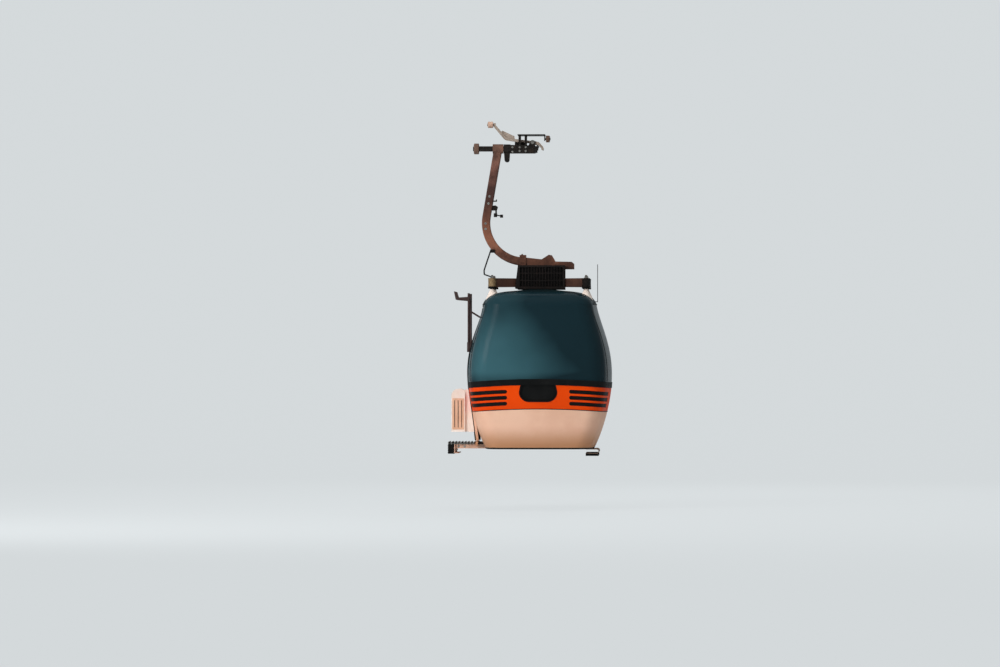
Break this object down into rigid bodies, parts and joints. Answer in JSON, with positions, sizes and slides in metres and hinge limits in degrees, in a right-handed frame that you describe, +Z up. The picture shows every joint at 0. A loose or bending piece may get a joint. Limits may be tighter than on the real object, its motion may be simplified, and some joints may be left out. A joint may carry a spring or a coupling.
{
  "type": "cable car cabin",
  "caption": "Cable car cabin with its hanger arm and a rope grip: glazed body, swing-out double doors, ski baskets.",
  "frame": {"origin": "centre of the rope, between the jaws of the grip", "axes": "+Z up, Y along the rope, +X across the rope, away from the doors"},
  "size_m": [2.153, 2.11, 4.403],
  "materials": {
    "cream_paint": "satin cream paint",
    "orange_paint": "gloss orange paint",
    "black_trim": "black moulding",
    "tinted_glass": "dark teal tinted pane",
    "roof_paint": "dark teal gloss paint",
    "floor_alloy": "mill finish",
    "floor_rubber": "ribbed mat",
    "seat_plastic": "moulded grey",
    "hanger_steel": "weathered brown paint",
    "dark_steel": "dark paint",
    "black_rubber": "moulded rubber",
    "pale_paint": "pale cream paint",
    "comb_steel": "weathered brown paint",
    "grip_steel": "oiled casting",
    "bright_steel": "turned",
    "roller_tread": "worn polymer tread"
  },
  "bodies": {
    "grip": {"grip_frame": "grip_steel", "grip_shaft": "bright_steel", "friction_plate": "grip_steel", "spring_cups": "grip_steel"},
    "jaw": {"jaw_lever": "grip_steel"},
    "lever_wheel": {"lever_roller": "roller_tread"},
    "outer_wheel": {"outer_roller": "roller_tread"},
    "inner_wheel": {"inner_roller": "roller_tread"},
    "arm_front": {"door_arm_front": "dark_steel"},
    "arm_rear": {"door_arm_rear": "dark_steel"},
    "leaf_front": {"door_frame_front": "black_trim", "door_skirt_front": "cream_paint", "door_band_front": "orange_paint", "door_window_front": "tinted_glass", "ski_basket_front": "pale_paint", "ski_comb_front": "comb_steel"},
    "leaf_rear": {"door_frame_rear": "black_trim", "door_skirt_rear": "cream_paint", "door_band_rear": "orange_paint", "door_window_rear": "tinted_glass", "ski_basket_rear": "pale_paint", "ski_comb_rear": "comb_steel"},
    "cabin": {"antenna": "dark_steel", "cage_frame": "dark_steel", "cage_mesh": "dark_steel", "control_rod": "dark_steel", "crossbeams": "hanger_steel", "damper_feet": "pale_paint", "dampers": "black_rubber", "door_bearings": "floor_alloy", "door_header": "black_trim", "door_side_band_panels": "orange_paint", "door_side_lower_panels": "cream_paint", "end_recesses": "black_trim", "floor_mat": "floor_rubber", "floor_pan": "floor_alloy", "front_band_panel": "orange_paint", "front_lower_panel": "cream_paint", "front_window": "tinted_glass", "guide_rubber": "black_rubber", "guide_shoe": "pale_paint", "hanger_arm": "hanger_steel", "hanger_beam": "hanger_steel", "quarter_windows": "tinted_glass", "rear_band_panel": "orange_paint", "rear_lower_panel": "cream_paint", "rear_window": "tinted_glass", "release_crank": "dark_steel", "roof_shell": "roof_paint", "seat_legs": "floor_alloy", "seats": "seat_plastic", "side_band_panel": "orange_paint", "side_lower_panel": "cream_paint", "side_window": "tinted_glass", "step_beam": "pale_paint", "step_buffer": "black_rubber", "step_grating": "floor_alloy", "vent_strips": "black_trim", "waist_gasket": "black_trim", "window_frame": "black_trim"}
  },
  "joints": [
    {"name": "hanger_swing", "type": "hinge", "parent": "grip", "child": "cabin", "pos_m": [-0.55, 0, 0], "axis": [1, 0, 0], "range_deg": [-40, 40]},
    {"name": "jaw_open", "type": "hinge", "parent": "grip", "child": "jaw", "pos_m": [-0.095, 0, 0.085], "axis": [0, -1, 0], "range_deg": [0, 8], "stiffness_Nm_per_rad": 600, "springref_deg": -28.65},
    {"name": "lever_roller_spin", "type": "hinge", "parent": "jaw", "child": "lever_wheel", "pos_m": [-0.651, 0, 0.318], "axis": [1, 0, 0], "continuous": true},
    {"name": "outer_roller_spin", "type": "hinge", "parent": "grip", "child": "outer_wheel", "pos_m": [-0.836, 0, 0], "axis": [1, 0, 0], "continuous": true},
    {"name": "inner_roller_spin", "type": "hinge", "parent": "grip", "child": "inner_wheel", "pos_m": [0.105, 0, 0.13], "axis": [1, 0, 0], "continuous": true},
    {"name": "door_swing", "type": "hinge", "parent": "cabin", "child": "arm_front", "pos_m": [-0.69, -0.385, -3], "axis": [0, 0, 1], "range_deg": [0, 108]},
    {"name": "leaf_front_turn", "type": "hinge", "parent": "arm_front", "child": "leaf_front", "pos_m": [-0.69977, -0.10517, -3], "axis": [0, 0, -1], "range_deg": [0, 108]},
    {"name": "arm_rear_turn", "type": "hinge", "parent": "cabin", "child": "arm_rear", "pos_m": [-0.69, 0.385, -3], "axis": [0, 0, -1], "range_deg": [0, 108]},
    {"name": "leaf_rear_turn", "type": "hinge", "parent": "arm_rear", "child": "leaf_rear", "pos_m": [-0.69977, 0.10517, -3], "axis": [0, 0, 1], "range_deg": [0, 108]}
  ],
  "couplings": [
    {"joint": "leaf_front_turn", "follows": "door_swing", "ratio": 1},
    {"joint": "arm_rear_turn", "follows": "door_swing", "ratio": 1},
    {"joint": "leaf_rear_turn", "follows": "door_swing", "ratio": 1}
  ]
}
